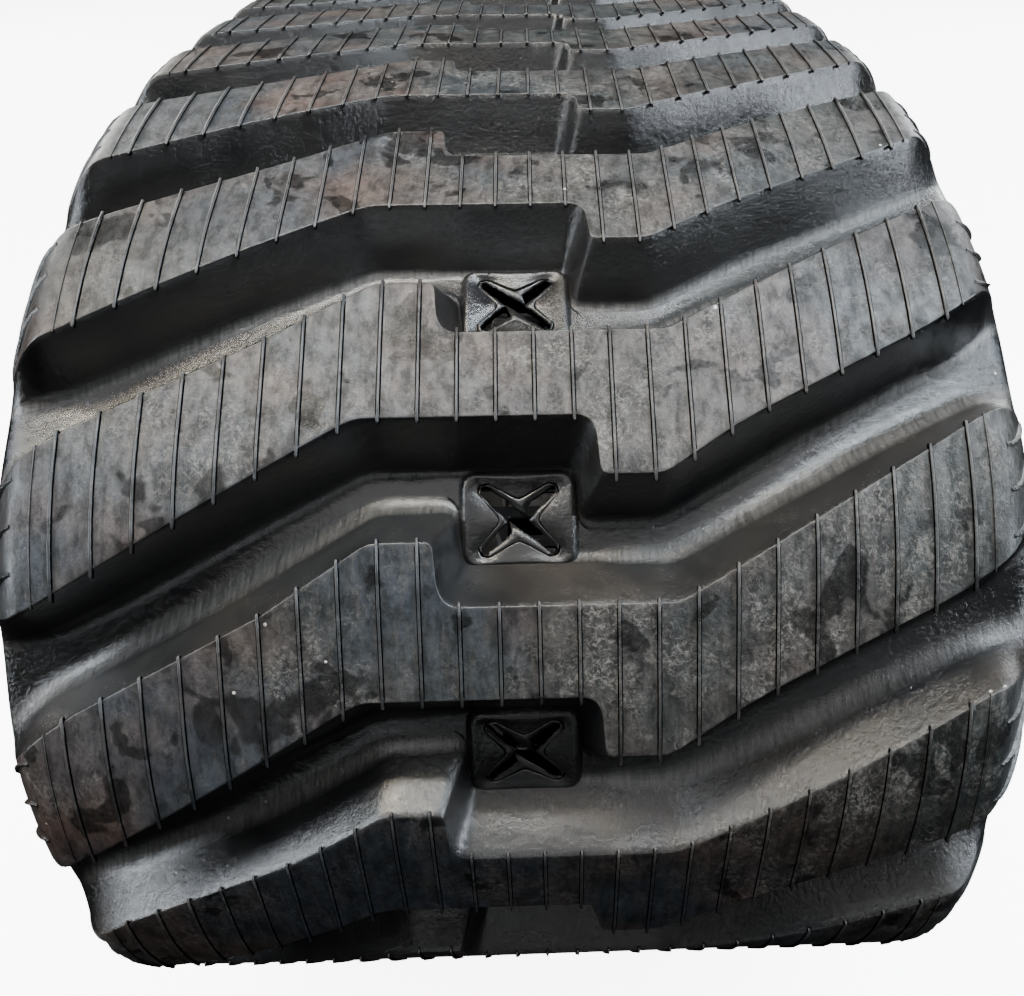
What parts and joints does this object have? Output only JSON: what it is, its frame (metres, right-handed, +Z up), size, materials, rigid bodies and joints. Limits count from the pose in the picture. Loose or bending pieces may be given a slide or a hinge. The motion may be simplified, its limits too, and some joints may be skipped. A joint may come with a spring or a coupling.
{
  "type": "rubber track",
  "caption": "Endless rubber track with zig-zag tread lugs, slit sprocket windows and embedded steel cores, closed into an oval loop that flexes at its ends.",
  "frame": {"origin": "on the ground under the middle of the bottom run, centred on the belt's width and on the loop's length", "axes": "+Z up, +Y along the loop from its front end to its rear end, +X across the belt"},
  "size_m": [0.45, 2.0348, 0.5591],
  "materials": {
    "rubber": "moulded black rubber, satin with dusty wear on the lugs' ground faces",
    "core_steel": "forged steel, dark and matt"
  },
  "bodies": {
    "bottom_run": {"belt_bottom_run": "rubber", "steel_core_06": "core_steel", "steel_core_07": "core_steel", "steel_core_08": "core_steel", "steel_core_09": "core_steel", "steel_core_10": "core_steel", "steel_core_11": "core_steel", "steel_core_12": "core_steel", "steel_core_13": "core_steel", "steel_core_14": "core_steel", "steel_core_15": "core_steel", "steel_core_16": "core_steel"},
    "front_foot": {"belt_front_foot": "rubber", "steel_core_04": "core_steel", "steel_core_05": "core_steel"},
    "front_lower": {"belt_front_lower": "rubber", "steel_core_02": "core_steel", "steel_core_03": "core_steel"},
    "front_nose": {"belt_front_nose": "rubber", "steel_core_43": "core_steel", "steel_core_00": "core_steel", "steel_core_01": "core_steel"},
    "front_upper": {"belt_front_upper": "rubber", "steel_core_41": "core_steel", "steel_core_42": "core_steel"},
    "front_crown": {"belt_front_crown": "rubber", "steel_core_39": "core_steel", "steel_core_40": "core_steel"},
    "top_run_front": {"belt_top_run_front": "rubber", "steel_core_34": "core_steel", "steel_core_35": "core_steel", "steel_core_36": "core_steel", "steel_core_37": "core_steel", "steel_core_38": "core_steel"},
    "rear_foot": {"belt_rear_foot": "rubber", "steel_core_17": "core_steel", "steel_core_18": "core_steel"},
    "rear_lower": {"belt_rear_lower": "rubber", "steel_core_19": "core_steel", "steel_core_20": "core_steel"},
    "rear_nose": {"belt_rear_nose": "rubber", "steel_core_21": "core_steel", "steel_core_22": "core_steel", "steel_core_23": "core_steel"},
    "rear_upper": {"belt_rear_upper": "rubber", "steel_core_24": "core_steel", "steel_core_25": "core_steel"},
    "rear_crown": {"belt_rear_crown": "rubber", "steel_core_26": "core_steel", "steel_core_27": "core_steel"},
    "top_run_rear": {"belt_top_run_rear": "rubber", "steel_core_28": "core_steel", "steel_core_29": "core_steel", "steel_core_30": "core_steel", "steel_core_31": "core_steel", "steel_core_32": "core_steel", "steel_core_33": "core_steel"}
  },
  "joints": [
    {"name": "front_foot_flex", "type": "hinge", "parent": "bottom_run", "child": "front_foot", "pos_m": [0, -0.55, 0.04111], "axis": [-1, 0, 0], "range_deg": [-3, 3], "stiffness_Nm_per_rad": 1100, "springref_deg": 2.45},
    {"name": "front_lower_shoulder_flex", "type": "hinge", "parent": "front_foot", "child": "front_lower", "pos_m": [0, -0.74936, 0.05365], "axis": [-1, 0, 0], "range_deg": [-2.05, 2.05], "stiffness_Nm_per_rad": 1100, "springref_deg": -2.15},
    {"name": "front_lower_nose_flex", "type": "hinge", "parent": "front_lower", "child": "front_nose", "pos_m": [0, -0.92488, 0.14261], "axis": [-1, 0, 0], "range_deg": [-5.05, 5.05], "stiffness_Nm_per_rad": 1100, "springref_deg": -5.69},
    {"name": "front_upper_nose_flex", "type": "hinge", "parent": "front_nose", "child": "front_upper", "pos_m": [0, -0.92488, 0.41646], "axis": [-1, 0, 0], "range_deg": [-5.05, 5.05], "stiffness_Nm_per_rad": 1100, "springref_deg": -5.88},
    {"name": "front_upper_shoulder_flex", "type": "hinge", "parent": "front_upper", "child": "front_crown", "pos_m": [0, -0.74936, 0.50542], "axis": [-1, 0, 0], "range_deg": [-2.05, 2.05], "stiffness_Nm_per_rad": 1100, "springref_deg": -3.75},
    {"name": "front_crown_flex", "type": "hinge", "parent": "front_crown", "child": "top_run_front", "pos_m": [0, -0.55, 0.51796], "axis": [-1, 0, 0], "range_deg": [-3.05, 3.05], "stiffness_Nm_per_rad": 1100, "springref_deg": -1.92},
    {"name": "rear_foot_flex", "type": "hinge", "parent": "bottom_run", "child": "rear_foot", "pos_m": [0, 0.55, 0.04111], "axis": [1, 0, 0], "range_deg": [-3.05, 3.05], "stiffness_Nm_per_rad": 1100, "springref_deg": 1.62},
    {"name": "rear_lower_shoulder_flex", "type": "hinge", "parent": "rear_foot", "child": "rear_lower", "pos_m": [0, 0.74936, 0.05365], "axis": [1, 0, 0], "range_deg": [-2.05, 2.05], "stiffness_Nm_per_rad": 1100, "springref_deg": -3.3},
    {"name": "rear_lower_nose_flex", "type": "hinge", "parent": "rear_lower", "child": "rear_nose", "pos_m": [0, 0.92488, 0.14261], "axis": [1, 0, 0], "range_deg": [-5.05, 5.05], "stiffness_Nm_per_rad": 1100, "springref_deg": -7.1},
    {"name": "rear_upper_nose_flex", "type": "hinge", "parent": "rear_nose", "child": "rear_upper", "pos_m": [0, 0.92488, 0.41646], "axis": [1, 0, 0], "range_deg": [-5.05, 5.05], "stiffness_Nm_per_rad": 1100, "springref_deg": -7.29},
    {"name": "rear_upper_shoulder_flex", "type": "hinge", "parent": "rear_upper", "child": "rear_crown", "pos_m": [0, 0.74936, 0.50542], "axis": [1, 0, 0], "range_deg": [-2.05, 2.05], "stiffness_Nm_per_rad": 1100, "springref_deg": -4.89},
    {"name": "rear_crown_flex", "type": "hinge", "parent": "rear_crown", "child": "top_run_rear", "pos_m": [0, 0.55, 0.51796], "axis": [1, 0, 0], "range_deg": [-3.05, 3.05], "stiffness_Nm_per_rad": 1100, "springref_deg": -2.76}
  ],
  "couplings": [
    {"joint": "front_lower_shoulder_flex", "follows": "front_foot_flex", "ratio": 0.66667},
    {"joint": "front_lower_nose_flex", "follows": "front_foot_flex", "ratio": -1.6667},
    {"joint": "front_upper_nose_flex", "follows": "front_foot_flex", "ratio": -1.6667},
    {"joint": "front_upper_shoulder_flex", "follows": "front_foot_flex", "ratio": 0.66667},
    {"joint": "front_crown_flex", "follows": "front_foot_flex", "ratio": 1},
    {"joint": "rear_foot_flex", "follows": "front_foot_flex", "ratio": 1},
    {"joint": "rear_lower_shoulder_flex", "follows": "front_foot_flex", "ratio": 0.66667},
    {"joint": "rear_lower_nose_flex", "follows": "front_foot_flex", "ratio": -1.6667},
    {"joint": "rear_upper_nose_flex", "follows": "front_foot_flex", "ratio": -1.6667},
    {"joint": "rear_upper_shoulder_flex", "follows": "front_foot_flex", "ratio": 0.66667},
    {"joint": "rear_crown_flex", "follows": "front_foot_flex", "ratio": 1}
  ]
}
